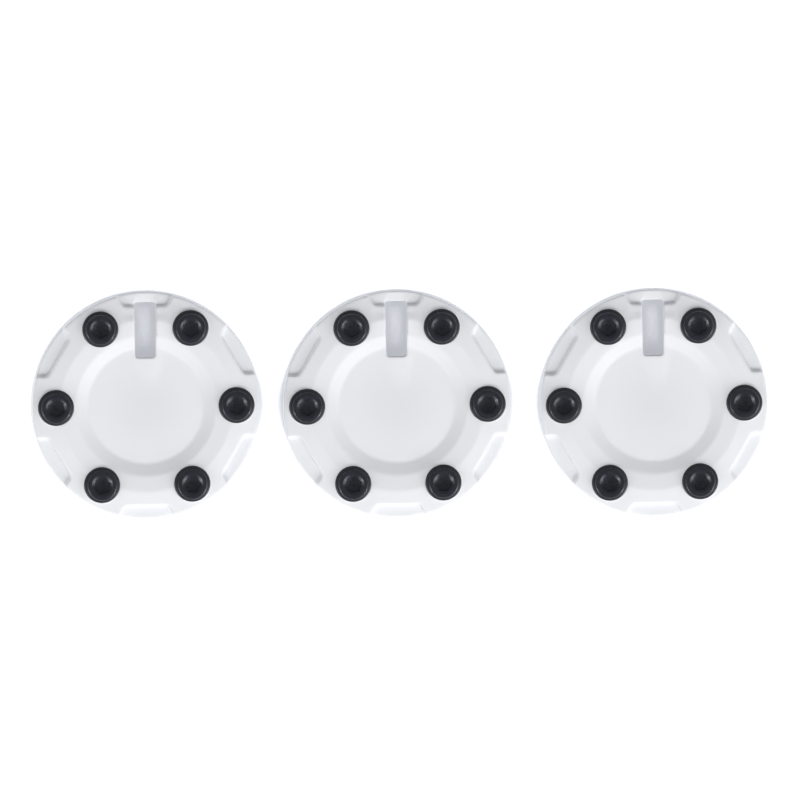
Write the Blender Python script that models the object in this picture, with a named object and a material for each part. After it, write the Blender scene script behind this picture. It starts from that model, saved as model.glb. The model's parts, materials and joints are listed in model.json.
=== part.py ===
"""Set of three round wheel covers, each a moulded shell held by six captive socket screws.

The covers lie in a row along X with their faces up.  Every screw has a washer under its head and
a retaining ring on its shank, which keeps the screw in the cover once it is unscrewed.
"""
import math

import bmesh
import bpy
from mathutils import Matrix, Vector

MM = 0.001

# The set: three covers in a row, each turned a little about its own middle.
COVER_NAMES = ("left", "middle", "right")
GAP_LEFT_TO_MIDDLE = 18.3 * MM
GAP_MIDDLE_TO_RIGHT = 22.6 * MM
COVER_TURN = math.radians(0.65)

# Clearances.
PART_GAP = 0.3 * MM          # between pieces that touch
SPOT_FACE_CLEARANCE = 0.5 * MM
CUT_OVERRUN = 1.0 * MM       # how far a cutter runs past the face it cuts

# Shell, from the rim inwards.
COVER_RADIUS = 88.0 * MM
WALL = 2.5 * MM
RIM_HEIGHT = 14.2 * MM
RIM_BEVEL = 0.8 * MM
SHOULDER_RISE = 3.6 * MM     # from the rim up the sloping shoulder to the crest
CREST_INSET = 3.15 * MM      # crest inside the bolt circle
RING_FALL = 1.0 * MM         # from the crest down to the conical band
BAND_WIDTH = 9.7 * MM
BAND_FALL = 3.8 * MM         # from the ring down to the centre disc
DISC_RADIUS = 44.8 * MM

# Pockets scooped out of the rim between the bolts.
POCKET_RADIAL_DEPTH = 10.7 * MM
POCKET_FLOOR_HEIGHT = 8.6 * MM
POCKET_FLOOR_FALL = 0.9 * MM  # from the pocket's inner end down to the rim
POCKET_BACK_RUN = 1.0 * MM   # how far the inner wall leans out from its floor to the rim's height
POCKET_SIDE_RUN = 3.2 * MM   # the same for the two side walls
POCKET_INNER_HALF = 17.5 * MM
POCKET_RIM_HALF = 23.6 * MM
POCKET_CORNER = 4.0 * MM

# Slot from the top pocket into the centre disc, and the ramp that leads into it.
SLOT_INNER_RADIUS = 37.3 * MM
SLOT_INNER_WIDTH = 15.6 * MM
SLOT_OUTER_WIDTH = 17.0 * MM
SLOT_CORNER = 2.3 * MM
SLOT_INTO_POCKET = 2.4 * MM
SLOT_LINER = 2.2 * MM
RAMP_DEPTH = 1.2 * MM
RAMP_RIM_WIDTH = 12.4 * MM
RAMP_RIM_MARGIN = 1.2 * MM

# Ribs and slot liner, which hang down into the hollow.
RIB_HANG = 2.5 * MM          # below the underside of the centre disc
RIB_THICKNESS = 2.0 * MM
RIB_TO_RETAINER = 1.0 * MM   # between a rib and the path of the retaining ring

# Screws, washers and retaining rings.
BOLT_COUNT = 6
BOLT_CIRCLE_RADIUS = 69.85 * MM
SEAT_BELOW_CREST = 0.4 * MM
SEAT_THICKNESS = 5.0 * MM
BOSS_WALL = 5.0 * MM
SHANK_RADIUS = 8.0 * MM
SHANK_CHAMFER = 1.0 * MM
SHANK_TIP_HEIGHT = 1.5 * MM
HEAD_RADIUS = 11.6 * MM
HEAD_HEIGHT = 4.0 * MM
HEAD_BEVEL = 0.9 * MM
HEX_ACROSS_FLATS = 12.0 * MM
HEX_DEPTH = 7.0 * MM
SOCKET_CHAMFER = 2.3 * MM    # sets the socket's mouth back from the hexagon's flats
HEX_TURNS = (18.0, 1.0, 53.0, 7.0, 45.0, 30.0)   # degrees, one for each bolt of a cover
WASHER_RADIUS = 14.0 * MM
WASHER_CLEARANCE = 0.5 * MM  # between the shank and the washer's bore
WASHER_THICKNESS = 2.5 * MM
RETAINER_WIDTH = 3.0 * MM    # of the ring that grips the shank
RETAINER_THICKNESS = 1.5 * MM
THREAD_PITCH = 1.5 * MM
TURNS_TO_RELEASE = 3

# Facets round each piece.
SHELL_FACETS = 48
HOLE_FACETS = 12
WASHER_FACETS = 16
BOLT_FACETS = 12
CORNER_FACETS = 2

# Sizes that follow from the ones above.
crest_radius = BOLT_CIRCLE_RADIUS - CREST_INSET
crest_height = RIM_HEIGHT + SHOULDER_RISE
ring_height = crest_height - RING_FALL
disc_height = ring_height - BAND_FALL
band_radius = DISC_RADIUS + BAND_WIDTH
pocket_radius = COVER_RADIUS - POCKET_RADIAL_DEPTH
pocket_wall_height = RIM_HEIGHT - POCKET_FLOOR_HEIGHT
slot_outer_radius = pocket_radius + SLOT_INTO_POCKET
rib_bottom = disc_height - WALL - RIB_HANG
seat_height = crest_height - SEAT_BELOW_CREST
boss_bottom = seat_height - SEAT_THICKNESS
release_travel = TURNS_TO_RELEASE * THREAD_PITCH
retainer_top = boss_bottom - release_travel - PART_GAP
boss_radius = SHANK_RADIUS + PART_GAP + BOSS_WALL
retainer_radius = SHANK_RADIUS + RETAINER_WIDTH
washer_bottom = seat_height + PART_GAP
washer_top = washer_bottom + WASHER_THICKNESS
head_bottom = washer_top + PART_GAP
head_top = head_bottom + HEAD_HEIGHT
above_all = head_top + CUT_OVERRUN
pitch_angle = 2.0 * math.pi / BOLT_COUNT
slot_direction = 0.5 * math.pi
pocket_phase = 0.5 * pitch_angle


def clear_scene():
    """Start from an empty scene."""
    for old in list(bpy.data.objects):
        bpy.data.objects.remove(old, do_unlink=True)


def make_material(name, colour, roughness, metallic):
    """Plain Principled material."""
    material = bpy.data.materials.new(name)
    material.use_nodes = True
    shader = material.node_tree.nodes["Principled BSDF"]
    shader.inputs["Base Color"].default_value = (*colour, 1.0)
    shader.inputs["Roughness"].default_value = roughness
    shader.inputs["Metallic"].default_value = metallic
    return material


def mesh_from(bm, name):
    """Turn a bmesh into a mesh with merged points and outward faces."""
    bmesh.ops.remove_doubles(bm, verts=bm.verts, dist=0.001 * MM)
    bmesh.ops.recalc_face_normals(bm, faces=bm.faces)
    mesh = bpy.data.meshes.new(name)
    bm.to_mesh(mesh)
    bm.free()
    return mesh


def turned(name, profile, facets, ring=False):
    """Solid turned about Z from (radius, height) points; a ring's profile closes on itself."""
    bm = bmesh.new()
    points = [bm.verts.new((radius, 0.0, height)) for radius, height in profile]
    ends = points[1:] + points[:1] if ring else points[1:]
    edges = [bm.edges.new(pair) for pair in zip(points, ends)]
    bmesh.ops.spin(bm, geom=points + edges, cent=(0, 0, 0), axis=(0, 0, 1),
                   angle=2.0 * math.pi, steps=facets, use_merge=True)
    return mesh_from(bm, name)


def add_loft(bm, lower, upper, turn=0.0):
    """Add the closed solid between two outlines of (x, y, z) points, turned about Z."""
    spin = Matrix.Rotation(turn, 3, "Z")
    low = [bm.verts.new(spin @ Vector(point)) for point in lower]
    high = [bm.verts.new(spin @ Vector(point)) for point in upper]
    count = len(low)
    for i in range(count):
        j = (i + 1) % count
        bm.faces.new((low[i], low[j], high[j], high[i]))
    bm.faces.new(low[::-1])
    bm.faces.new(high)


def round_corner(before, corner, after, radius):
    """Points of the arc that rounds one corner of a flat outline."""
    corner = Vector(corner)
    to_before = (Vector(before) - corner).normalized()
    to_after = (Vector(after) - corner).normalized()
    half = 0.5 * to_before.angle(to_after)
    middle = (to_before + to_after).normalized()
    centre = corner + middle * (radius / math.sin(half))
    start = corner + to_before * (radius / math.tan(half)) - centre
    end = corner + to_after * (radius / math.tan(half)) - centre
    swing = start.angle_signed(end)
    points = []
    for i in range(CORNER_FACETS + 1):
        part = Matrix.Rotation(-swing * i / CORNER_FACETS, 2) @ start
        points.append(centre + part)
    return points


def notch_outline(inner_y, inner_half, outer_y, outer_half, corner, height):
    """Outline open towards +Y: a straight inner end with rounded corners, and slanted sides."""
    right_out = (outer_half, outer_y)
    right_in = (inner_half, inner_y)
    left_in = (-inner_half, inner_y)
    left_out = (-outer_half, outer_y)
    flat = [Vector(left_out)]
    flat += round_corner(left_out, left_in, right_in, corner)
    flat += round_corner(left_in, right_in, right_out, corner)
    flat += [Vector(right_out)]
    return [(point.x, point.y, height) for point in flat]


def pocket_rise(y):
    """How far the sloping pocket floor has risen above its height at the rim."""
    return POCKET_FLOOR_FALL * (COVER_RADIUS - y) / POCKET_RADIAL_DEPTH


def pocket_outline(height, grow, follows_floor):
    """A pocket's outline at one height; its walls lean outwards as they rise."""
    left = 1.0 - (height - POCKET_FLOOR_HEIGHT) / pocket_wall_height   # wall still to rise
    inner_y = pocket_radius + POCKET_BACK_RUN * left - grow
    inner_half = POCKET_INNER_HALF - POCKET_SIDE_RUN * left + grow
    splay = (POCKET_RIM_HALF - POCKET_INNER_HALF) / POCKET_RADIAL_DEPTH
    outer_y = COVER_RADIUS + POCKET_RADIAL_DEPTH
    outer_half = inner_half + splay * (outer_y - inner_y)
    flat = notch_outline(inner_y, inner_half, outer_y, outer_half, POCKET_CORNER, height)
    if follows_floor:
        return [(x, y, z + pocket_rise(y)) for x, y, z in flat]
    return flat


def pockets(name, grow):
    """The six pockets as one cutter; grown by the wall, they shape the hollow behind them."""
    bm = bmesh.new()
    for i in range(BOLT_COUNT):
        turn = pocket_phase + i * pitch_angle - slot_direction
        lower = pocket_outline(POCKET_FLOOR_HEIGHT - grow, grow, True)
        upper = pocket_outline(above_all, grow, False)
        add_loft(bm, lower, upper, turn)
    return mesh_from(bm, name)


def slot_outline(height, grow):
    """The slot's outline at one height, its inner end square with rounded corners."""
    outer_y = slot_outer_radius
    return notch_outline(SLOT_INNER_RADIUS - grow, 0.5 * SLOT_INNER_WIDTH + grow,
                         outer_y, 0.5 * SLOT_OUTER_WIDTH + grow, SLOT_CORNER + grow, height)


def slot_cutter(name, bottom, grow):
    """The slot as a cutter, or its liner as a grown block."""
    bm = bmesh.new()
    add_loft(bm, slot_outline(bottom, grow), slot_outline(above_all, grow))
    return mesh_from(bm, name)


def ramp_cutter(name):
    """A shallow ramp in the pocket floor, deepest at the slot and running out near the rim."""
    inner_y = slot_outer_radius - CUT_OVERRUN
    outer_y = COVER_RADIUS - RAMP_RIM_MARGIN
    inner_half = 0.5 * SLOT_OUTER_WIDTH - PART_GAP
    outer_half = 0.5 * RAMP_RIM_WIDTH
    deep = POCKET_FLOOR_HEIGHT + pocket_rise(inner_y) - RAMP_DEPTH
    shallow = POCKET_FLOOR_HEIGHT + pocket_rise(outer_y)
    lower = [(-outer_half, outer_y, shallow), (-inner_half, inner_y, deep),
             (inner_half, inner_y, deep), (outer_half, outer_y, shallow)]
    upper = [(x, y, above_all) for x, y, _ in lower]
    bm = bmesh.new()
    add_loft(bm, lower, upper)
    return mesh_from(bm, name)


def bore_radius(clear_radius, facets):
    """Corner radius of a faceted bore whose flats clear a radius."""
    return clear_radius / math.cos(math.pi / facets)


def bolt_places():
    """Middle of each bolt on the bolt circle."""
    for i in range(BOLT_COUNT):
        angle = i * pitch_angle
        yield Vector((math.cos(angle), math.sin(angle), 0.0)) * BOLT_CIRCLE_RADIUS


def bolt_cylinders(name, radius, bottom, top):
    """One upright cylinder at each bolt."""
    bm = bmesh.new()
    for place in bolt_places():
        middle = Matrix.Translation(place + Vector((0.0, 0.0, 0.5 * (bottom + top))))
        bmesh.ops.create_cone(bm, cap_ends=True, segments=HOLE_FACETS, radius1=radius,
                              radius2=radius, depth=top - bottom, matrix=middle)
    return mesh_from(bm, name)


def rib_blocks(name):
    """Radial ribs in line with each bolt, inside and outside the retaining ring's path."""
    bm = bmesh.new()
    half = 0.5 * RIB_THICKNESS
    ring_path = retainer_radius + RIB_TO_RETAINER
    spans = ((DISC_RADIUS + SLOT_LINER, BOLT_CIRCLE_RADIUS - ring_path),
             (BOLT_CIRCLE_RADIUS + ring_path, COVER_RADIUS))
    for i in range(BOLT_COUNT):
        for inner, outer in spans:
            plan = [(half, inner), (half, outer), (-half, outer), (-half, inner)]
            lower = [(x, y, rib_bottom) for x, y in plan]
            upper = [(x, y, above_all) for x, y in plan]
            add_loft(bm, lower, upper, i * pitch_angle - slot_direction)
    return mesh_from(bm, name)


def guide_object(name, mesh):
    """A cutter: it shapes other pieces and isn't one itself."""
    guide = bpy.data.objects.new(name, mesh)
    guide.hide_render = True
    guide.display_type = "WIRE"
    bpy.context.scene.collection.objects.link(guide)
    return guide


def combine(target, guide, operation):
    """Add an exact Boolean to an object."""
    modifier = target.modifiers.new(guide.name, "BOOLEAN")
    modifier.operation = operation
    modifier.solver = "EXACT"
    modifier.object = guide


def hollow_guide():
    """The hollow behind the shell, with pockets, bosses, ribs and slot liner left standing."""
    inside = COVER_RADIUS - WALL
    profile = [(0.0, -CUT_OVERRUN), (inside, -CUT_OVERRUN), (inside, RIM_HEIGHT - WALL),
               (crest_radius, crest_height - WALL), (band_radius, ring_height - WALL),
               (DISC_RADIUS, disc_height - WALL), (0.0, disc_height - WALL)]
    hollow = guide_object("hollow", turned("hollow", profile, SHELL_FACETS))
    keep = (
        guide_object("pocket_backs", pockets("pocket_backs", WALL)),
        guide_object("bosses", bolt_cylinders("bosses", boss_radius, boss_bottom, above_all)),
        guide_object("ribs", rib_blocks("ribs")),
        guide_object("slot_liner", slot_cutter("slot_liner", rib_bottom, SLOT_LINER)),
    )
    for guide in keep:
        combine(hollow, guide, "DIFFERENCE")
    return hollow


def shell_mesh():
    """The moulded shell: a turned face with seats, pockets, a slot and a hollow back."""
    profile = [(0.0, 0.0), (COVER_RADIUS, 0.0), (COVER_RADIUS, RIM_HEIGHT - RIM_BEVEL),
               (COVER_RADIUS - RIM_BEVEL, RIM_HEIGHT), (crest_radius, crest_height),
               (band_radius, ring_height), (DISC_RADIUS, disc_height), (0.0, disc_height)]
    shell = guide_object("shell_blank", turned("shell_blank", profile, SHELL_FACETS))
    pad_foot = RIM_HEIGHT - WALL
    spot_radius = bore_radius(WASHER_RADIUS + SPOT_FACE_CLEARANCE, HOLE_FACETS)
    hole_radius = bore_radius(SHANK_RADIUS + PART_GAP, HOLE_FACETS)
    steps = (
        ("seat_pads", bolt_cylinders("seat_pads", WASHER_RADIUS - PART_GAP, pad_foot, seat_height),
         "UNION"),
        ("spot_faces", bolt_cylinders("spot_faces", spot_radius, seat_height, above_all),
         "DIFFERENCE"),
        ("pocket_cuts", pockets("pocket_cuts", 0.0), "DIFFERENCE"),
        ("slot_cut", slot_cutter("slot_cut", -CUT_OVERRUN, 0.0), "DIFFERENCE"),
        ("ramp_cut", ramp_cutter("ramp_cut"), "DIFFERENCE"),
        ("bolt_holes", bolt_cylinders("bolt_holes", hole_radius, 0.0, above_all),
         "DIFFERENCE"),
    )
    for name, mesh, operation in steps:
        combine(shell, guide_object(name, mesh), operation)
    combine(shell, hollow_guide(), "DIFFERENCE")
    return evaluated_mesh(shell, "cover_shell")


def evaluated_mesh(source, name):
    """The finished mesh of an object with its modifiers, shaded smooth between sharp edges."""
    depsgraph = bpy.context.evaluated_depsgraph_get()
    depsgraph.update()
    mesh = bpy.data.meshes.new_from_object(source.evaluated_get(depsgraph))
    mesh.name = name
    mesh.materials.clear()
    mesh.shade_smooth()
    mesh.set_sharp_from_angle(angle=math.radians(28.0))
    return mesh


def bolt_mesh():
    """Low-head socket screw, its axis on Z and its heights those of the set."""
    head_side = head_top - HEAD_BEVEL
    tip_radius = SHANK_RADIUS - SHANK_CHAMFER
    profile = [(0.0, SHANK_TIP_HEIGHT), (tip_radius, SHANK_TIP_HEIGHT),
               (SHANK_RADIUS, SHANK_TIP_HEIGHT + SHANK_CHAMFER), (SHANK_RADIUS, head_bottom),
               (HEAD_RADIUS, head_bottom), (HEAD_RADIUS, head_side),
               (HEAD_RADIUS - HEAD_BEVEL, head_top), (0.0, head_top)]
    bolt = guide_object("bolt_blank", turned("bolt_blank", profile, BOLT_FACETS))
    hex_radius = 0.5 * HEX_ACROSS_FLATS / math.cos(math.pi / 6.0)
    bm = bmesh.new()
    middle = Matrix.Translation((0.0, 0.0, head_top + 0.5 * (CUT_OVERRUN - HEX_DEPTH)))
    bmesh.ops.create_cone(bm, cap_ends=True, segments=6, radius1=hex_radius, radius2=hex_radius,
                          depth=HEX_DEPTH + CUT_OVERRUN, matrix=middle)
    combine(bolt, guide_object("hex_cut", mesh_from(bm, "hex_cut")), "DIFFERENCE")
    flat_radius = 0.5 * HEX_ACROSS_FLATS
    cone = [(0.0, head_top - SOCKET_CHAMFER), (flat_radius, head_top - SOCKET_CHAMFER),
            (flat_radius + SOCKET_CHAMFER + CUT_OVERRUN, head_top + CUT_OVERRUN),
            (0.0, head_top + CUT_OVERRUN)]
    mouth = guide_object("mouth_cut", turned("mouth_cut", cone, BOLT_FACETS))
    combine(bolt, mouth, "DIFFERENCE")
    return evaluated_mesh(bolt, "bolt")


def ring_mesh(name, clear_radius, radius, bottom, thickness, facets):
    """Flat ring with its axis on Z; the flats of its bore clear a radius."""
    bore = bore_radius(clear_radius, facets)
    top = bottom + thickness
    profile = [(bore, bottom), (radius, bottom), (radius, top), (bore, top)]
    mesh = turned(name, profile, facets, ring=True)
    mesh.shade_smooth()
    mesh.set_sharp_from_angle(angle=math.radians(28.0))
    return mesh


def place(name, mesh, parent, location, turn, material):
    """A finished piece, placed under its parent."""
    piece = bpy.data.objects.new(name, mesh)
    bpy.context.scene.collection.objects.link(piece)
    if not mesh.materials:
        mesh.materials.append(material)
    piece.parent = parent
    piece.location = location
    piece.rotation_euler = (0.0, 0.0, turn)


def cover_middles():
    """Middle of each cover; the row is centred on the origin."""
    step_left = 2.0 * COVER_RADIUS + GAP_LEFT_TO_MIDDLE
    step_right = 2.0 * COVER_RADIUS + GAP_MIDDLE_TO_RIGHT
    left = -0.5 * (step_left + step_right)
    return left, left + step_left, left + step_left + step_right


def build():
    """Model the three covers with their screws, washers and retaining rings."""
    clear_scene()
    white = make_material("white_plastic", (0.82, 0.83, 0.86), 0.42, 0.0)
    black = make_material("black_steel", (0.025, 0.027, 0.034), 0.32, 0.6)
    dark = make_material("black_washer", (0.03, 0.032, 0.04), 0.38, 0.5)
    nylon = make_material("grey_nylon", (0.16, 0.16, 0.17), 0.55, 0.0)
    shell = shell_mesh()
    bolt = bolt_mesh()
    washer = ring_mesh("washer", SHANK_RADIUS + WASHER_CLEARANCE, WASHER_RADIUS, washer_bottom,
                       WASHER_THICKNESS, WASHER_FACETS)
    retainer = ring_mesh("retainer", SHANK_RADIUS + PART_GAP, retainer_radius,
                         retainer_top - RETAINER_THICKNESS, RETAINER_THICKNESS, BOLT_FACETS)
    for side, middle in zip(COVER_NAMES, cover_middles()):
        seat = bpy.data.objects.new(side + "_middle", None)
        bpy.context.scene.collection.objects.link(seat)
        seat.location = (middle, 0.0, 0.0)
        seat.rotation_euler = (0.0, 0.0, COVER_TURN)
        place(side + "_cover_shell", shell, seat, (0, 0, 0), 0.0, white)
        for i, spot in enumerate(bolt_places()):
            turn = math.radians(HEX_TURNS[i])
            place(f"{side}_bolt_{i + 1}", bolt, seat, spot, turn, black)
            place(f"{side}_washer_{i + 1}", washer, seat, spot, 0.0, dark)
            place(f"{side}_retainer_{i + 1}", retainer, seat, spot, 0.0, nylon)


build()
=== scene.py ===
import json
import math

import bmesh
import bpy
from mathutils import Matrix, Vector

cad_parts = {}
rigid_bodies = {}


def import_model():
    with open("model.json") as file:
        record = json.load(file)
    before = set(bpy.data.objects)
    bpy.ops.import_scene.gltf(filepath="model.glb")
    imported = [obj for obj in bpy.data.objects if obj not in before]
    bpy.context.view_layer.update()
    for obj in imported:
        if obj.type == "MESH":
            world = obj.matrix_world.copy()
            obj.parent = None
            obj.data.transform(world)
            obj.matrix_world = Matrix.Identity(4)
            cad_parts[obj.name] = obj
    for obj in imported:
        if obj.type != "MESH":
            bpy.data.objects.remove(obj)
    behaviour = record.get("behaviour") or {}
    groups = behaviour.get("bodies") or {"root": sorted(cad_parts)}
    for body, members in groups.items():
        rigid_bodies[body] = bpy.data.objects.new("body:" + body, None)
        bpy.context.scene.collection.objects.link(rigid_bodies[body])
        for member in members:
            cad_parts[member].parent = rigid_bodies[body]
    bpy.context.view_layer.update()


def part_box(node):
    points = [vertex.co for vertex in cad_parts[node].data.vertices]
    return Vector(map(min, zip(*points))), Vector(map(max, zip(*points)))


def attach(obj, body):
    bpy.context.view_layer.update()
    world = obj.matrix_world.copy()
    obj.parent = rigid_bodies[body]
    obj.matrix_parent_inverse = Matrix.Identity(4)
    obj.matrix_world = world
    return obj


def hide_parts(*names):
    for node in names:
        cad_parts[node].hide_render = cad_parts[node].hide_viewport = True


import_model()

# ---- Cover shells ----
# Each cover is one white moulding: a turned face with a recessed centre disc, six scooped pockets in
# its rim, a pull slot from the top pocket, and six thickened seats for the screws.  The back is
# hollow, with ribs in line with every seat.  It's made as a blank with cuts, its edges are softened,
# and last its face gets a low tongue up to the slot and a shallow dip beside the slot.
MM = 0.001
SIDES = ("left", "middle", "right")
SCREWS = range(1, 7)
SCREW_PITCH = 2.0 * math.pi / len(SCREWS)
TOP = 0.5 * math.pi
WALL = 2.5 * MM
RIM_HEIGHT = 14.2 * MM
RIM_ROUNDING = 1.3 * MM
RING_FALL = 1.0 * MM
BAND_FALL = 3.8 * MM
DISC_RADIUS = 44.8 * MM
BAND_WIDTH = 9.7 * MM
CREST_INSET = 3.15 * MM
EASE_CREST = 2.5 * MM
EASE_BAND = 2.0 * MM
POCKET_DEPTH = 10.7 * MM
POCKET_FLOOR = 8.6 * MM
POCKET_FLOOR_FALL = 0.3 * MM
POCKET_BACK_RUN = 0.2 * MM
POCKET_SIDE_RUN = 0.8 * MM
POCKET_INNER_HALF = 17.5 * MM
POCKET_RIM_HALF = 23.6 * MM
POCKET_CORNER = 4.0 * MM
POCKET_FILLET = 1.6 * MM
SLOT_INNER_RADIUS = 37.3 * MM
SLOT_INNER_WIDTH = 15.6 * MM
SLOT_OUTER_WIDTH = 17.0 * MM
SLOT_CORNER = 2.3 * MM
SLOT_INTO_POCKET = 2.4 * MM
SLOT_LINER = 2.2 * MM
RAMP_DEPTH = 1.2 * MM
RAMP_RIM_WIDTH = 12.4 * MM
RAMP_RIM_MARGIN = 1.2 * MM
RIB_HANG = 2.5 * MM
RIB_THICKNESS = 2.0 * MM
RIB_TO_RETAINER = 1.0 * MM
SEAT_THICKNESS = 5.0 * MM
BOSS_WALL = 5.0 * MM
RETAINER_WIDTH = 3.0 * MM
FIT_GAP = 0.3 * MM
OVERRUN = 1.0 * MM
TONGUE_RISE = 0.9 * MM
TONGUE_TIP = 11.0 * MM
TONGUE_TIP_HALF = 6.0 * MM
TONGUE_ROOT_HALF = 12.5 * MM
TONGUE_LEAN = 3.2 * MM
TONGUE_SIDES = (0.3, 1.15)
TONGUE_END = (42.0 * MM, 50.0 * MM)
GRAIN_SIZE = 0.9 * MM
# The painted shade at the disc's middle fades out over this radius.
PAINTED_SHADE_RADIUS = 42.0 * MM
SLOT_DIP = 0.9 * MM
DIP_HALF = (12.0 * MM, 20.5 * MM)
DIP_RUN_DOWN = 6.0 * MM
DIP_RUN_UP = 2.0 * MM
DIP_EASE = 1.0 * MM
SOFTENING_ROUNDS = 2
# How light the white is painted: darker at the middle as painted shade, lighter on the tongue as
# painted light.
PAINTED_SHADE_AT_MIDDLE = 0.35
PAINTED_LIGHT_ON_TONGUE = 0.45
WHITE_LOW = (0.630, 0.636, 0.662, 1.0)
WHITE_HIGH = (0.705, 0.711, 0.735, 1.0)


def node_middle(node):
    """Middle of a CAD node at rest."""
    low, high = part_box(node)
    return 0.5 * (Vector(low) + Vector(high))


shell_low, shell_high = (Vector(corner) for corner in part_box("middle_cover_shell"))
washer_low, washer_high = (Vector(corner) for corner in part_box("middle_washer_1"))
retainer_low, retainer_high = (Vector(corner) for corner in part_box("middle_retainer_1"))
first_screw = node_middle("middle_bolt_1") - node_middle("middle_cover_shell")
cover_radius = 0.5 * (shell_high.x - shell_low.x)
crest_height = shell_high.z
screw_circle = first_screw.xy.length
cover_turn = math.atan2(first_screw.y, first_screw.x)
washer_radius = 0.5 * (washer_high.x - washer_low.x)
seat_height = washer_low.z - FIT_GAP
retainer_radius = 0.5 * (retainer_high.x - retainer_low.x)
shank_radius = retainer_radius - RETAINER_WIDTH
crest_radius = screw_circle - CREST_INSET
ring_height = crest_height - RING_FALL
disc_height = ring_height - BAND_FALL
rib_bottom = disc_height - WALL - RIB_HANG
band_radius = DISC_RADIUS + BAND_WIDTH
pocket_radius = cover_radius - POCKET_DEPTH
slot_end = pocket_radius + SLOT_INTO_POCKET
clear_above = seat_height + 20.0 * MM


def arc_between(before, corner, after, radius, steps):
    """Points of the arc that rounds one corner of a flat line."""
    corner = Vector(corner)
    towards_before = (Vector(before) - corner).normalized()
    towards_after = (Vector(after) - corner).normalized()
    half = 0.5 * towards_before.angle(towards_after)
    centre = corner + (towards_before + towards_after).normalized() * (radius / math.sin(half))
    start = corner + towards_before * (radius / math.tan(half)) - centre
    end = corner + towards_after * (radius / math.tan(half)) - centre
    swing = start.angle_signed(end)
    return [centre + Matrix.Rotation(-swing * i / steps, 2) @ start for i in range(steps + 1)]


def eased(corners, steps=5):
    """A line through (x, y, rounding) corners, with its rounded corners as arcs."""
    points = [Vector(corners[0][:2])]
    for before, corner, after in zip(corners, corners[1:], corners[2:]):
        if corner[2] > 0.0:
            points += arc_between(before[:2], corner[:2], after[:2], corner[2], steps)
        else:
            points.append(Vector(corner[:2]))
    points.append(Vector(corners[-1][:2]))
    return points


def closed_mesh(bm, name):
    """The mesh of a bmesh, with merged points and faces that point outwards."""
    bmesh.ops.remove_doubles(bm, verts=bm.verts, dist=0.001 * MM)
    bmesh.ops.recalc_face_normals(bm, faces=bm.faces)
    mesh = bpy.data.meshes.new(name)
    bm.to_mesh(mesh)
    bm.free()
    return mesh


def turned(name, outline, steps, ring=False):
    """A solid turned about Z from (radius, height) points; a ring's outline closes on itself."""
    bm = bmesh.new()
    points = [bm.verts.new((point[0], 0.0, point[1])) for point in outline]
    following = points[1:] + points[:1] if ring else points[1:]
    edges = [bm.edges.new(pair) for pair in zip(points, following)]
    bmesh.ops.spin(bm, geom=points + edges, cent=(0, 0, 0), axis=(0, 0, 1),
                   angle=2.0 * math.pi, steps=steps, use_merge=True)
    return closed_mesh(bm, name)


def add_loft(bm, levels, turn):
    """Add the closed solid through outlines of (x, y, z) points, turned about Z."""
    spin = Matrix.Rotation(turn, 3, "Z")
    rings = [[bm.verts.new(spin @ Vector(point)) for point in level] for level in levels]
    for low, high in zip(rings, rings[1:]):
        loops = []
        for ring in (low, high):
            loops += [bm.edges.get(pair) or bm.edges.new(pair)
                      for pair in zip(ring, ring[1:] + ring[:1])]
        bmesh.ops.bridge_loops(bm, edges=loops)
    bm.faces.new(rings[0][::-1])
    bm.faces.new(rings[-1])


def notch(inner_y, inner_half, outer_y, outer_half, corner, height, steps=6):
    """Outline open towards +Y: a straight inner end with rounded corners, and slanted sides."""
    corners = [(-outer_half, outer_y, 0.0), (-inner_half, inner_y, corner),
               (inner_half, inner_y, corner), (outer_half, outer_y, 0.0)]
    return [(point.x, point.y, height) for point in eased(corners, steps)]


def pocket_rise(y):
    """How far the sloping pocket floor has risen above its height at the rim."""
    return POCKET_FLOOR_FALL * (cover_radius - y) / POCKET_DEPTH


def pocket_level(height, inset, follows_floor):
    """A pocket's outline at one height, set in by so much; its walls lean out as they rise."""
    left = 1.0 - (height - POCKET_FLOOR) / (RIM_HEIGHT - POCKET_FLOOR)
    inner_y = pocket_radius + POCKET_BACK_RUN * left + inset
    inner_half = POCKET_INNER_HALF - POCKET_SIDE_RUN * left - inset
    splay = (POCKET_RIM_HALF - POCKET_INNER_HALF) / POCKET_DEPTH
    outer_y = cover_radius + POCKET_DEPTH
    outer_half = inner_half + splay * (outer_y - inner_y)
    flat = notch(inner_y, inner_half, outer_y, outer_half, POCKET_CORNER, height)
    if follows_floor:
        return [(x, y, z + pocket_rise(y)) for x, y, z in flat]
    return flat


def pocket_solids(name, grow, fillet):
    """Six pockets with a rounded floor edge; grown by the wall, they are the pockets' backs."""
    levels = []
    steps = 5
    for i in range(steps + 1):
        angle = 0.5 * math.pi * i / steps
        height = POCKET_FLOOR - grow + fillet * (1.0 - math.cos(angle))
        levels.append(pocket_level(height, fillet * (1.0 - math.sin(angle)) - grow, True))
    levels.append(pocket_level(clear_above, -grow, False))
    bm = bmesh.new()
    for i in range(len(SCREWS)):
        add_loft(bm, levels, (i + 0.5) * SCREW_PITCH - TOP)
    return closed_mesh(bm, name)


def slot_solid(name, bottom, grow):
    """The slot, or the block that leaves a liner round it."""
    levels = [notch(SLOT_INNER_RADIUS - grow, 0.5 * SLOT_INNER_WIDTH + grow, slot_end,
                    0.5 * SLOT_OUTER_WIDTH + grow, SLOT_CORNER + grow, height)
              for height in (bottom, clear_above)]
    bm = bmesh.new()
    add_loft(bm, levels, 0.0)
    return closed_mesh(bm, name)


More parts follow.
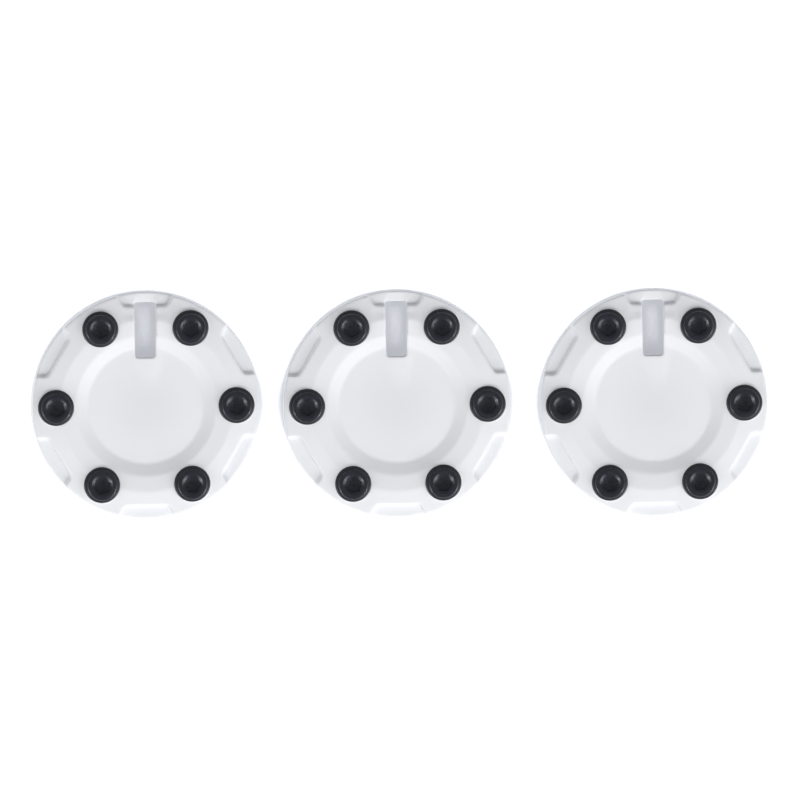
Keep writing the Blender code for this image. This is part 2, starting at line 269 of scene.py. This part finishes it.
def ramp_solid(name):
    """The ramp in the top pocket's floor, deepest at the slot."""
    inner_half = 0.5 * SLOT_OUTER_WIDTH - FIT_GAP
    outer_half = 0.5 * RAMP_RIM_WIDTH
    inner_y = slot_end - OVERRUN
    outer_y = cover_radius - RAMP_RIM_MARGIN
    deep = POCKET_FLOOR + pocket_rise(inner_y) - RAMP_DEPTH
    shallow = POCKET_FLOOR + pocket_rise(outer_y)
    foot = [(-outer_half, outer_y, shallow), (-inner_half, inner_y, deep),
            (inner_half, inner_y, deep), (outer_half, outer_y, shallow)]
    bm = bmesh.new()
    add_loft(bm, [foot, [(x, y, clear_above) for x, y, _ in foot]], 0.0)
    return closed_mesh(bm, name)


def screw_columns(name, radius, bottom, top):
    """An upright cylinder at each screw."""
    bm = bmesh.new()
    for i in range(len(SCREWS)):
        spot = Matrix.Rotation(i * SCREW_PITCH, 4, "Z") @ Vector((screw_circle, 0.0, 0.0))
        spot.z = 0.5 * (bottom + top)
        bmesh.ops.create_cone(bm, cap_ends=True, segments=64, radius1=radius, radius2=radius,
                              depth=top - bottom, matrix=Matrix.Translation(spot))
    return closed_mesh(bm, name)


def rib_solids(name):
    """Radial ribs in line with each screw, inside and outside its retaining ring's path."""
    ring_path = retainer_radius + RIB_TO_RETAINER
    spans = ((DISC_RADIUS + SLOT_LINER, screw_circle - ring_path),
             (screw_circle + ring_path, cover_radius))
    half = 0.5 * RIB_THICKNESS
    bm = bmesh.new()
    for i in range(len(SCREWS)):
        for inner, outer in spans:
            plan = [(half, inner), (half, outer), (-half, outer), (-half, inner)]
            levels = [[(x, y, height) for x, y in plan] for height in (rib_bottom, clear_above)]
            add_loft(bm, levels, i * SCREW_PITCH - TOP)
    return closed_mesh(bm, name)


def worked(mesh, steps, name):
    """A mesh after a row of exact Booleans, given as (operation, mesh) steps."""
    blank = bpy.data.objects.new("blank", mesh)
    scene_objects = bpy.context.scene.collection.objects
    scene_objects.link(blank)
    tools = []
    for operation, tool_mesh in steps:
        tool = bpy.data.objects.new("tool", tool_mesh)
        scene_objects.link(tool)
        tools.append(tool)
        cut = blank.modifiers.new("cut", "BOOLEAN")
        cut.operation = operation
        cut.solver = "EXACT"
        cut.object = tool
    depsgraph = bpy.context.evaluated_depsgraph_get()
    result = bpy.data.meshes.new_from_object(blank.evaluated_get(depsgraph))
    for used in [blank] + tools:
        bpy.data.objects.remove(used)
    result.name = name
    return result


def softened(mesh, size, rounds):
    """The mesh laid again in small even facets and smoothed, which rounds its edges."""
    blank = bpy.data.objects.new("blank", mesh)
    bpy.context.scene.collection.objects.link(blank)
    remesh = blank.modifiers.new("even", "REMESH")
    remesh.mode = "VOXEL"
    remesh.voxel_size = size
    depsgraph = bpy.context.evaluated_depsgraph_get()
    result = bpy.data.meshes.new_from_object(blank.evaluated_get(depsgraph))
    bpy.data.objects.remove(blank)
    bm = bmesh.new()
    bm.from_mesh(result)
    for _ in range(rounds):
        bmesh.ops.smooth_vert(bm, verts=bm.verts, factor=0.5, use_axis_x=True, use_axis_y=True,
                              use_axis_z=True)
    bm.to_mesh(result)
    bm.free()
    return result


def smooth_step(value, start, end):
    """Nought before start and one after end, with a soft run between."""
    share = min(1.0, max(0.0, (value - start) / (end - start)))
    return share * share * (3.0 - 2.0 * share)


def tongue_share(x, y):
    """How much of the tongue's full rise stands at a place on the centre disc."""
    reach = min(1.0, max(0.0, (y - TONGUE_TIP) / (SLOT_INNER_RADIUS - TONGUE_TIP)))
    half = TONGUE_TIP_HALF + (TONGUE_ROOT_HALF - TONGUE_TIP_HALF) * reach
    middle_line = TONGUE_LEAN - 0.5 * TONGUE_LEAN * reach
    beside = smooth_step(abs(x - middle_line) / half, *TONGUE_SIDES)
    beyond = smooth_step(y, *TONGUE_END)
    return reach * (1.0 - beside) * (1.0 - beyond)


def dip_share(x, y):
    """How much of the dip between the slot's two screws lies at a place on the shoulder."""
    reach = smooth_step(y, crest_radius - DIP_EASE, crest_radius + DIP_RUN_DOWN)
    reach -= smooth_step(y, pocket_radius - DIP_EASE, pocket_radius + DIP_RUN_UP)
    return reach * (1.0 - smooth_step(abs(x), *DIP_HALF))


def shape_face(mesh):
    """Give the face its tongue and its dip, and note at each point how the white is painted: darker
    towards the disc's middle as painted shade, lighter along the tongue as painted light.
    """
    clear = mesh.attributes.new("painted_light_and_shade", "FLOAT", "POINT")
    face_side = disc_height - 0.5 * WALL
    for point, mark in zip(mesh.vertices, clear.data):
        # Painted shade darkens the white towards the middle; painted light lightens it on the tongue.
        outward = smooth_step(point.co.xy.length, 0.0, PAINTED_SHADE_RADIUS)
        mark.value = PAINTED_SHADE_AT_MIDDLE + (1.0 - PAINTED_SHADE_AT_MIDDLE) * outward
        if point.co.z > face_side:
            tongue = tongue_share(point.co.x, point.co.y)
            mark.value += PAINTED_LIGHT_ON_TONGUE * tongue
            point.co.z += TONGUE_RISE * tongue - SLOT_DIP * dip_share(point.co.x, point.co.y)


def shell_solid():
    """One cover's shell about its own middle, its slot towards +Y."""
    outside = [(0.0, 0.0, 0.0), (cover_radius, 0.0, 0.0), (cover_radius, RIM_HEIGHT, RIM_ROUNDING),
               (crest_radius, crest_height, EASE_CREST), (band_radius, ring_height, EASE_BAND),
               (DISC_RADIUS, disc_height, EASE_BAND), (0.0, disc_height, 0.0)]
    inside = [(0.0, -OVERRUN, 0.0), (cover_radius - WALL, -OVERRUN, 0.0),
              (cover_radius - WALL, RIM_HEIGHT - WALL, RIM_ROUNDING),
              (crest_radius, crest_height - WALL, EASE_CREST),
              (band_radius, ring_height - WALL, EASE_BAND),
              (DISC_RADIUS, disc_height - WALL, EASE_BAND), (0.0, disc_height - WALL, 0.0)]
    boss_radius = shank_radius + FIT_GAP + BOSS_WALL
    boss_bottom = seat_height - SEAT_THICKNESS
    hollow = worked(turned("hollow", eased(inside), 240), (
        ("DIFFERENCE", pocket_solids("pocket_backs", WALL, POCKET_FILLET)),
        ("DIFFERENCE", screw_columns("bosses", boss_radius, boss_bottom, clear_above)),
        ("DIFFERENCE", rib_solids("ribs")),
        ("DIFFERENCE", slot_solid("liner", rib_bottom, SLOT_LINER))), "hollow")
    body = worked(turned("face", eased(outside), 240), (
        ("UNION", screw_columns("pads", washer_radius - FIT_GAP, RIM_HEIGHT - WALL, seat_height)),
        ("DIFFERENCE", screw_columns("faces", washer_radius + 0.5 * MM, seat_height, clear_above)),
        ("DIFFERENCE", pocket_solids("pockets", 0.0, POCKET_FILLET)),
        ("DIFFERENCE", slot_solid("slot", -OVERRUN, 0.0)),
        ("DIFFERENCE", ramp_solid("ramp")),
        ("DIFFERENCE", screw_columns("holes", shank_radius + FIT_GAP, 0.0, clear_above)),
        ("DIFFERENCE", hollow)), "shell")
    shell = softened(body, GRAIN_SIZE, SOFTENING_ROUNDS)
    shape_face(shell)
    return shell


class Wire:
    """A value running through a material's nodes, so that shader maths reads as arithmetic."""

    def __init__(self, tree, socket):
        self.tree = tree
        self.socket = socket

    def feed(self, target, value):
        """Give a socket a value, or a wire that leads to it."""
        if isinstance(value, Wire):
            self.tree.links.new(value.socket, target)
        else:
            target.default_value = value

    def node(self, kind, settings=None, output=0, **values):
        """Any node: its settings first, then the values or wires of its sockets."""
        made = self.tree.nodes.new(kind)
        for setting, value in (settings or {}).items():
            setattr(made, setting, value)
        for key, value in values.items():
            name = key.strip("_")
            self.feed(made.inputs[int(name) if name.isdigit() else name], value)
        return Wire(self.tree, made.outputs[output])

    def maths(self, operation, first, second):
        return self.node("ShaderNodeMath", {"operation": operation}, _0=first, _1=second)

    def __add__(self, other):
        return self.maths("ADD", self, other)

    __radd__ = __add__

    def __sub__(self, other):
        return self.maths("SUBTRACT", self, other)

    def __rsub__(self, other):
        return self.maths("SUBTRACT", other, self)

    def __mul__(self, other):
        return self.maths("MULTIPLY", self, other)

    __rmul__ = __mul__


def new_finish(name):
    """A material with its shader, and a wire that carries Object coordinates."""
    material = bpy.data.materials.new(name)
    material.use_nodes = True
    tree = material.node_tree
    shader = tree.nodes["Principled BSDF"]
    start = Wire(tree, None)
    place = start.node("ShaderNodeTexCoord", output=3)
    return material, shader, place


def noise(place, scale, detail=2.0):
    """Noise of about one feature in 1/scale metres."""
    return place.node("ShaderNodeTexNoise", Vector=place, Scale=scale, Detail=detail)


def white_plastic():
    """Satin white moulded plastic: a cool white with faint flow marks and a fine spark texture, painted
    a little greyer at the disc's middle as painted shade and a little lighter along the tongue as
    painted light."""
    material, shader, place = new_finish("white_moulded_plastic")
    flow = noise(place, 22.0, 3.0)
    grain = noise(place, 2600.0)
    haze = noise(place, 140.0, 4.0)
    # This attribute carries painted shade at the disc's middle and painted light on the tongue.
    clear = place.node("ShaderNodeAttribute", {"attribute_name": "painted_light_and_shade"}, output=2)
    colour = place.node("ShaderNodeMix", {"data_type": "RGBA"}, output=2, _0=0.3 * flow + 0.85 * clear,
                        _6=WHITE_LOW, _7=WHITE_HIGH)
    place.feed(shader.inputs["Base Color"], colour)
    place.feed(shader.inputs["Roughness"], 0.48 + 0.12 * haze)
    shader.inputs["Specular IOR Level"].default_value = 0.35
    bump = place.node("ShaderNodeBump", Strength=0.12, Distance=0.00004, Height=grain)
    place.feed(shader.inputs["Normal"], bump)
    return material


def set_in_place(name, mesh, middle, turn, material, body, node):
    """A finished piece: its place goes into its mesh, and it stands for its CAD node."""
    own = mesh.copy()
    own.name = name
    own.transform(Matrix.Translation(middle) @ Matrix.Rotation(turn, 4, "Z"))
    own.materials.clear()
    own.materials.append(material)
    own.shade_smooth()
    piece = bpy.data.objects.new(name, own)
    bpy.context.scene.collection.objects.link(piece)
    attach(piece, body)
    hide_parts(node)
    return piece


shell = shell_solid()
plastic = white_plastic()
for side in SIDES:
    middle = node_middle(side + "_cover_shell")
    middle.z = 0.0
    set_in_place(side + "_shell_moulding", shell, middle, cover_turn, plastic, side + "_cover",
                 side + "_cover_shell")

# ---- Retaining rings ----
# A dark grey nylon ring sits in a groove near the tip of each screw, behind the shell.  It keeps the
# screw in the cover once it is unscrewed.  It is turned, with its edges rounded.
RETAINER_ROUNDING = 0.35 * MM
GROOVE_DEPTH = 0.5 * MM


def rounded_ring(name, bore, radius, bottom, top, rounding, steps):
    """A flat ring turned about Z; rounding is that of the top outer edge and of the others."""
    outer, other = rounding
    corners = [(bore, 0.5 * (bottom + top), 0.0), (bore, bottom, other), (radius, bottom, other),
               (radius, top, outer), (bore, top, other), (bore, 0.5 * (bottom + top), 0.0)]
    return turned(name, eased(corners, 4)[:-1], steps, ring=True)


def screw_spot(side, number):
    """Middle of a screw in the plane that the covers stand on."""
    spot = node_middle(f"{side}_bolt_{number}")
    spot.z = 0.0
    return spot


def grey_nylon():
    """Matt grey nylon with the faint mottling of a moulded ring."""
    material, shader, place = new_finish("grey_nylon")
    mottle = noise(place, 320.0, 3.0)
    grain = noise(place, 3200.0)
    colour = place.node("ShaderNodeMix", {"data_type": "RGBA"}, output=2, _0=mottle,
                        _6=(0.065, 0.065, 0.07, 1.0), _7=(0.105, 0.105, 0.112, 1.0))
    place.feed(shader.inputs["Base Color"], colour)
    place.feed(shader.inputs["Roughness"], 0.48 + 0.2 * mottle)
    bump = place.node("ShaderNodeBump", Strength=0.2, Distance=0.00003, Height=grain)
    place.feed(shader.inputs["Normal"], bump)
    return material


retainer = rounded_ring("retainer", shank_radius - GROOVE_DEPTH + 0.1 * MM, retainer_radius,
                        retainer_low.z, retainer_high.z, (RETAINER_ROUNDING, RETAINER_ROUNDING), 72)
nylon = grey_nylon()
for side in SIDES:
    for number in SCREWS:
        set_in_place(f"{side}_retaining_ring_{number}", retainer, screw_spot(side, number), 0.0, nylon,
                     f"{side}_carrier_{number}", f"{side}_retainer_{number}")

# ---- Washers ----
# A thick black washer lies in the spot face round each screw, a little wider than the screw's head.
# It is turned from steel, its outer top edge well rounded, and blackened.
WASHER_CLEARANCE = 0.5 * MM
WASHER_ROUNDING = 1.2 * MM
WASHER_EDGE = 0.3 * MM
WASHER_WEAR_INSET = 0.35 * MM
WASHER_WEAR_REACH = 1.0 * MM


def mark_rims(mesh, rims, reach):
    """Note how near each point is to a lightened rim, given as (radius, height) places; a rim stands
    for edge wear, or for a painted highlight on a screw's chamfer.
    """
    wear_and_painted_highlight = mesh.attributes.new("wear_and_painted_highlight", "FLOAT", "POINT")
    for point, mark in zip(mesh.vertices, wear_and_painted_highlight.data):
        place = Vector((point.co.xy.length, point.co.z))
        nearest = min((place - Vector(rim)).length for rim in rims)
        mark.value = 1.0 - smooth_step(nearest, 0.4 * reach, reach)


def blackened_steel(name, dark, light, roughness):
    """Blackened steel: blue-black, slightly mottled, finely grained, and lighter on marked rims: edge
    wear on rims, and a painted highlight on a screw's countersunk chamfer.
    """
    material, shader, place = new_finish(name)
    mottle = noise(place, 260.0, 4.0)
    grain = noise(place, 3000.0, 3.0)
    wear_and_painted_highlight = place.node("ShaderNodeAttribute", {"attribute_name": "wear_and_painted_highlight"}, output=2)
    # Marked rims mix towards the lighter steel: edge wear, and on a screw's chamfer a painted
    # highlight.
    colour = place.node("ShaderNodeMix", {"data_type": "RGBA"}, output=2,
                        _0=0.6 * mottle + 0.4 * (wear_and_painted_highlight * grain), _6=dark, _7=light)
    place.feed(shader.inputs["Base Color"], colour)
    place.feed(shader.inputs["Roughness"], roughness + 0.16 * mottle - 0.08 * wear_and_painted_highlight)
    shader.inputs["Metallic"].default_value = 0.35
    bump = place.node("ShaderNodeBump", Strength=0.25, Distance=0.00003, Height=grain)
    place.feed(shader.inputs["Normal"], bump)
    return material


washer = rounded_ring("washer", shank_radius + WASHER_CLEARANCE, washer_radius, washer_low.z,
                      washer_high.z, (WASHER_ROUNDING, WASHER_EDGE), 96)
mark_rims(washer, [(washer_radius - WASHER_WEAR_INSET, washer_high.z - WASHER_WEAR_INSET)],
          WASHER_WEAR_REACH)
washer_steel = blackened_steel("black_washer_steel", (0.020, 0.021, 0.027, 1.0),
                               (0.034, 0.035, 0.043, 1.0), 0.34)
for side in SIDES:
    for number in SCREWS:
        set_in_place(f"{side}_thick_washer_{number}", washer, screw_spot(side, number), 0.0,
                     washer_steel, f"{side}_carrier_{number}",
                     f"{side}_washer_{number}")

# ---- Screws ----
# Each screw has a low round head with a deep hexagon socket, a plain neck, a groove for its
# retaining ring and a short fine thread.  It is turned, its socket is pierced and countersunk.
HEAD_RADIUS = 11.6 * MM
HEAD_ROUNDING = 1.1 * MM
HEAD_UNDERSIDE_ROUNDING = 0.3 * MM
HEX_FLATS = 12.0 * MM
HEX_DEPTH = 7.0 * MM
SOCKET_CHAMFER = 2.3 * MM
CHAMFER_FALL = 1.35 * MM
DRILL_DEPTH = 2.2 * MM
DRILL_CLEARANCE = 0.3 * MM
THREAD_PITCH = 1.5 * MM
THREAD_DEPTH = 0.85 * MM
THREAD_CREST = (0.42, 0.55)
THREAD_FOOT = 0.97
TIP_CHAMFER = 1.0 * MM
HEAD_WEAR_INSET = 0.3 * MM
HEAD_WEAR_AND_HIGHLIGHT_REACH = 1.3 * MM
SHARP_ABOVE = math.radians(26.0)
HEX_TURNS = (18.0, 1.0, 53.0, 7.0, 45.0, 30.0)

screw_low, screw_high = (Vector(corner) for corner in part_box("middle_bolt_1"))
head_top = screw_high.z
head_bottom = washer_high.z + FIT_GAP
tip = screw_low.z


def screw_blank():
    """The turned screw: tip, thread core, groove, neck and head."""
    core = shank_radius - THREAD_DEPTH
    groove = shank_radius - GROOVE_DEPTH
    thread_end = retainer_low.z - 0.2 * MM
    groove_end = retainer_high.z + 0.1 * MM
    corners = [(0.0, tip, 0.0), (core - TIP_CHAMFER, tip, 0.0), (core, tip + TIP_CHAMFER, 0.0),
               (core, thread_end, 0.0), (groove, thread_end + 0.1 * MM, 0.0), (groove, groove_end, 0.0),
               (shank_radius, groove_end + 0.3 * MM, 0.0), (shank_radius, head_bottom, 0.0),
               (HEAD_RADIUS, head_bottom, HEAD_UNDERSIDE_ROUNDING),
               (HEAD_RADIUS, head_top, HEAD_ROUNDING), (0.0, head_top, 0.0)]
    return turned("screw_blank", eased(corners, 5), 96)


def socket_cuts():
    """The hexagon, its drilled bottom and its countersunk mouth."""
    floor_height = head_top - HEX_DEPTH
    hex_radius = 0.5 * HEX_FLATS / math.cos(math.pi / 6.0)
    hexagon = bmesh.new()
    bmesh.ops.create_cone(hexagon, cap_ends=True, segments=6, radius1=hex_radius, radius2=hex_radius,
                          depth=HEX_DEPTH + OVERRUN,
                          matrix=Matrix.Translation((0.0, 0.0, head_top + 0.5 * (OVERRUN - HEX_DEPTH))))
    flat_radius = 0.5 * HEX_FLATS
    drill_radius = flat_radius - DRILL_CLEARANCE
    drill = [(0.0, floor_height - DRILL_DEPTH), (drill_radius, floor_height),
             (drill_radius, head_top), (0.0, head_top)]
    low, high = head_top - CHAMFER_FALL, head_top + CHAMFER_FALL
    mouth = [(0.0, low), (flat_radius, low), (flat_radius + 2.0 * SOCKET_CHAMFER, high), (0.0, high)]
    return (("DIFFERENCE", closed_mesh(hexagon, "hexagon")),
            ("DIFFERENCE", turned("drill", drill, 48)),
            ("DIFFERENCE", turned("mouth", mouth, 96)))


def thread_ridge():
    """The thread's ridge, spun up the shank as a helix with closed ends."""
    crest = shank_radius - 0.05 * MM
    root = shank_radius - THREAD_DEPTH - 0.1 * MM
    start = tip + TIP_CHAMFER
    turns = (retainer_low.z - 0.3 * MM - start) / THREAD_PITCH - 1.0
    section = [(root, 0.0), (crest, THREAD_CREST[0] * THREAD_PITCH),
               (crest, THREAD_CREST[1] * THREAD_PITCH), (root, THREAD_FOOT * THREAD_PITCH)]
    steps = round(48 * turns)
    bm = bmesh.new()
    points = [bm.verts.new((x, 0.0, start + z)) for x, z in section]
    face = bm.faces.new(points)
    rise = Vector((0.0, 0.0, THREAD_PITCH * turns / steps))
    bmesh.ops.spin(bm, geom=[face] + points + list(face.edges), cent=(0, 0, 0), axis=(0, 0, 1),
                   dvec=rise, angle=2.0 * math.pi * turns, steps=steps, use_duplicate=False)
    return bm


def screw_mesh():
    """One finished screw about its own axis, its hexagon with a corner towards +Y."""
    mesh = worked(screw_blank(), socket_cuts(), "screw")
    bm = bmesh.new()
    bm.from_mesh(mesh)
    ridge = bpy.data.meshes.new("ridge")
    ridge_bm = thread_ridge()
    bmesh.ops.recalc_face_normals(ridge_bm, faces=ridge_bm.faces)
    ridge_bm.to_mesh(ridge)
    ridge_bm.free()
    bm.from_mesh(ridge)
    bm.to_mesh(mesh)
    bm.free()
    mouth_radius = 0.5 * HEX_FLATS + SOCKET_CHAMFER
    # Painted highlight: the mark at the middle of the countersunk chamfer lightens the whole chamfer;
    # the head's edge and the socket's mouth carry edge wear.
    chamfer_painted_highlight = (mouth_radius - 0.5 * SOCKET_CHAMFER, head_top - 0.5 * CHAMFER_FALL)
    head_edge = (HEAD_RADIUS - HEAD_WEAR_INSET, head_top - HEAD_WEAR_INSET)
    mark_rims(mesh, [head_edge, (mouth_radius, head_top), chamfer_painted_highlight], HEAD_WEAR_AND_HIGHLIGHT_REACH)
    return mesh


screw = screw_mesh()
screw_steel = blackened_steel("black_screw_steel", (0.011, 0.012, 0.017, 1.0),
                              (0.040, 0.044, 0.058, 1.0), 0.20)
for side in SIDES:
    for number, hex_turn in zip(SCREWS, HEX_TURNS):
        piece = set_in_place(f"{side}_socket_screw_{number}", screw, screw_spot(side, number),
                             cover_turn + math.radians(hex_turn), screw_steel,
                             f"{side}_screw_{number}", f"{side}_bolt_{number}")
        piece.data.set_sharp_from_angle(angle=SHARP_ABOVE)

# ---- Studio: floor, light and camera ----
# A pale floor whose glow is painted light: it shines wherever the floor is open to the room and fades
# to painted shade under the covers; two lights low on the right and two on the left, of which one of
# each pair casts no shadow; an even room; and a camera that looks almost straight down from a little
# above the row's top left.
FLOOR_HALF = 4.0
FLOOR_COLOUR = (0.60, 0.615, 0.645, 1.0)
FLOOR_ROUGHNESS = 0.9
GLOW_STRENGTH = 0.75
GLOW_FROM = 0.53
GLOW_TO = 0.57
OPEN_REACH = 60.0 * MM
NO_GLOW = (0.0, 0.0, 0.0, 1.0)
COOL_WHITE = (0.97, 0.98, 1.0, 1.0)
ROOM_STRENGTH = 0.30

floor_bm = bmesh.new()
bmesh.ops.create_grid(floor_bm, x_segments=1, y_segments=1, size=FLOOR_HALF)
floor_mesh = closed_mesh(floor_bm, "floor")
floor = bpy.data.objects.new("floor", floor_mesh)
bpy.context.scene.collection.objects.link(floor)
floor_finish, floor_shader, floor_place = new_finish("pale_floor")
floor_shader.inputs["Base Color"].default_value = FLOOR_COLOUR
floor_shader.inputs["Roughness"].default_value = FLOOR_ROUGHNESS
# Painted light and shade: the floor's emission follows how open it is within OPEN_REACH, so it is dark
# beneath the covers and inside them.
open_share = floor_place.node("ShaderNodeAmbientOcclusion", {"samples": 24}, output=1,
                              Distance=OPEN_REACH)
glow = floor_place.node("ShaderNodeMapRange", _0=open_share, _1=GLOW_FROM, _2=GLOW_TO)
glow_colour = floor_place.node("ShaderNodeMix", {"data_type": "RGBA"}, output=2, _0=glow,
                               _6=NO_GLOW, _7=COOL_WHITE)
floor_place.feed(floor_shader.inputs["Emission Color"], glow_colour)
floor_shader.inputs["Emission Strength"].default_value = GLOW_STRENGTH
floor_mesh.materials.append(floor_finish)

# Each lamp: its name, the side it shines from, its strength, its width and whether it casts shadows.
LAMP_HEIGHT = math.radians(38.0)
LAMPS = (("key_right", 325.0, 1.35, 16.0, False), ("key_right_soft", 325.0, 1.25, 50.0, True),
         ("key_left", 215.0, 0.85, 16.0, False), ("key_left_soft", 215.0, 0.80, 50.0, True))
for lamp_name, azimuth, strength, softness, casts in LAMPS:
    lamp = bpy.data.lights.new(lamp_name, "SUN")
    lamp.energy = strength
    lamp.angle = math.radians(softness)
    lamp.use_shadow = casts
    lamp_object = bpy.data.objects.new(lamp_name, lamp)
    bpy.context.scene.collection.objects.link(lamp_object)
    side_on = Matrix.Rotation(math.radians(azimuth), 3, "Z") @ Vector((math.cos(LAMP_HEIGHT), 0.0, 0.0))
    towards = side_on + Vector((0.0, 0.0, math.sin(LAMP_HEIGHT)))
    lamp_object.rotation_euler = towards.to_track_quat("Z", "Y").to_euler()

room = bpy.data.worlds.new("room")
room.use_nodes = True
backdrop = room.node_tree.nodes["Background"]
backdrop.inputs["Color"].default_value = COOL_WHITE
backdrop.inputs["Strength"].default_value = ROOM_STRENGTH
bpy.context.scene.world = room
bpy.context.scene.view_settings.view_transform = "Standard"

VIEW_LEAN = Vector((-0.048, 0.099, 0.994)).normalized()
PICTURE_WIDTH = 618.2 * MM
ROW_ACROSS = 2.04 * MM
ROW_DOWN = 4.0 * MM
CAMERA_DISTANCE = 1.5
camera_data = bpy.data.cameras.new("camera")
camera_data.type = "ORTHO"
camera_data.ortho_scale = PICTURE_WIDTH
camera = bpy.data.objects.new("camera", camera_data)
bpy.context.scene.collection.objects.link(camera)
across = Vector((0.0, 1.0, 0.0)).cross(VIEW_LEAN).normalized()
upwards = VIEW_LEAN.cross(across)
aim = node_middle("middle_cover_shell")
aim.z = seat_height
camera.location = aim + across * ROW_ACROSS + upwards * ROW_DOWN + VIEW_LEAN * CAMERA_DISTANCE
camera.rotation_euler = Matrix((across, upwards, VIEW_LEAN)).transposed().to_euler()
bpy.context.scene.camera = camera
